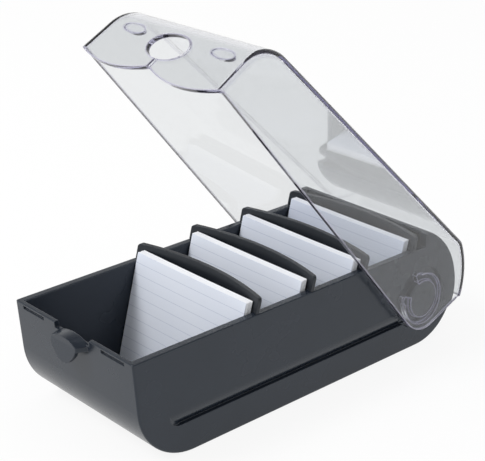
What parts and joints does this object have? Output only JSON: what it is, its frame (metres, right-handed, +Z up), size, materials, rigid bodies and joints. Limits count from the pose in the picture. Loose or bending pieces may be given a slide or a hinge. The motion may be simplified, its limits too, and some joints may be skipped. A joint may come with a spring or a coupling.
{
  "type": "index card drawer",
  "caption": "Flip-top box for landscape record cards: dark moulded tray with sliding leaning dividers, cards, and a clear lid hinged on rear trunnions.",
  "frame": {"origin": "middle of the tray's length and width, on its flat base", "axes": "+X to the right, seen from the front; +Y towards the hinge at the rear; +Z up"},
  "size_m": [0.093, 0.201, 0.1625],
  "materials": {
    "tray_plastic": "satin",
    "divider_plastic": "satin",
    "clear_plastic": "clear, polished",
    "card_stock": "matte",
    "ruled_card": "matte, faint printed rules"
  },
  "bodies": {
    "tray": {"tray": "tray_plastic"},
    "lid": {"lid": "clear_plastic"},
    "divider_1": {"divider_1": "divider_plastic"},
    "cards_1": {"card_pack_1": "card_stock", "front_card_1": "ruled_card"},
    "divider_2": {"divider_2": "divider_plastic"},
    "cards_2": {"card_pack_2": "card_stock", "front_card_2": "ruled_card"},
    "divider_3": {"divider_3": "divider_plastic"},
    "cards_3": {"card_pack_3": "card_stock", "front_card_3": "ruled_card"},
    "divider_4": {"divider_4": "divider_plastic"},
    "cards_4": {"card_pack_4": "card_stock", "front_card_4": "ruled_card"}
  },
  "joints": [
    {"name": "lid_hinge", "type": "hinge", "parent": "tray", "child": "lid", "pos_m": [0, 0.07, 0.025], "axis": [-1, 0, 0], "range_deg": [-45, 24]},
    {"name": "divider_1_slide", "type": "slide", "parent": "tray", "child": "divider_1", "axis": [0, 1, 0], "range_m": [-0.017, 0.019]},
    {"name": "cards_1_lift", "type": "slide", "parent": "divider_1", "child": "cards_1", "axis": [0, 0.2756, 0.9613], "range_m": [0, 0.03]},
    {"name": "divider_2_slide", "type": "slide", "parent": "tray", "child": "divider_2", "axis": [0, 1, 0], "range_m": [-0.019, 0.019]},
    {"name": "cards_2_lift", "type": "slide", "parent": "divider_2", "child": "cards_2", "axis": [0, 0.2756, 0.9613], "range_m": [0, 0.03]},
    {"name": "divider_3_slide", "type": "slide", "parent": "tray", "child": "divider_3", "axis": [0, 1, 0], "range_m": [-0.019, 0.019]},
    {"name": "cards_3_lift", "type": "slide", "parent": "divider_3", "child": "cards_3", "axis": [0, 0.2756, 0.9613], "range_m": [0, 0.03]},
    {"name": "divider_4_slide", "type": "slide", "parent": "tray", "child": "divider_4", "axis": [0, 1, 0], "range_m": [-0.019, 0]},
    {"name": "cards_4_lift", "type": "slide", "parent": "divider_4", "child": "cards_4", "axis": [0, 0.2756, 0.9613], "range_m": [0, 0.015]}
  ]
}
